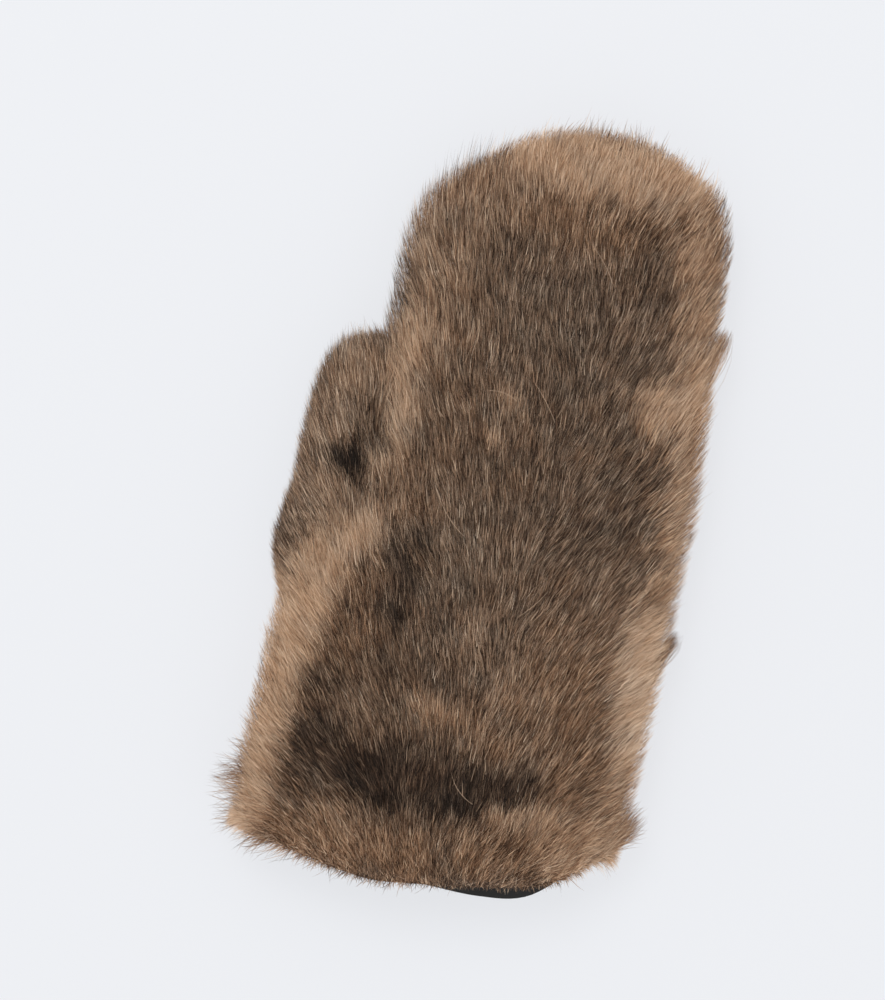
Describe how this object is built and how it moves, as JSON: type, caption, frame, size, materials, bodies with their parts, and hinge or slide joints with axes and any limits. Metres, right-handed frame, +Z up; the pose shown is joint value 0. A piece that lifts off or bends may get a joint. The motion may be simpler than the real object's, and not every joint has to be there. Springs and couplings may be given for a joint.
{
  "type": "fur mitten",
  "caption": "Right-hand mitten of deep, brown, long-haired fur over a dark smooth lining, lying palm down, open at the cuff, with a separate thumb.",
  "frame": {"origin": "on the flat underside of the palm fur, below the middle of the palm", "axes": "+Y from the cuff to the fingertips, +X towards the side away from the thumb, +Z up, out of the back of the hand"},
  "size_m": [0.1486, 0.2878, 0.0456],
  "materials": {
    "back_fur": "long soft guard hair with dark tips, grey-brown in the middle and tan at the sides and fingertips",
    "palm_fur": "the same fur in tan, pressed flat underneath",
    "thumb_fur": "the same fur in greyish brown, a little shorter",
    "lining": "dark, smooth, finely woven cloth with a soft sheen"
  },
  "bodies": {
    "root": {"back_fur": "back_fur", "palm_fur": "palm_fur", "thumb_fur": "thumb_fur", "lining": "lining"}
  },
  "joints": []
}
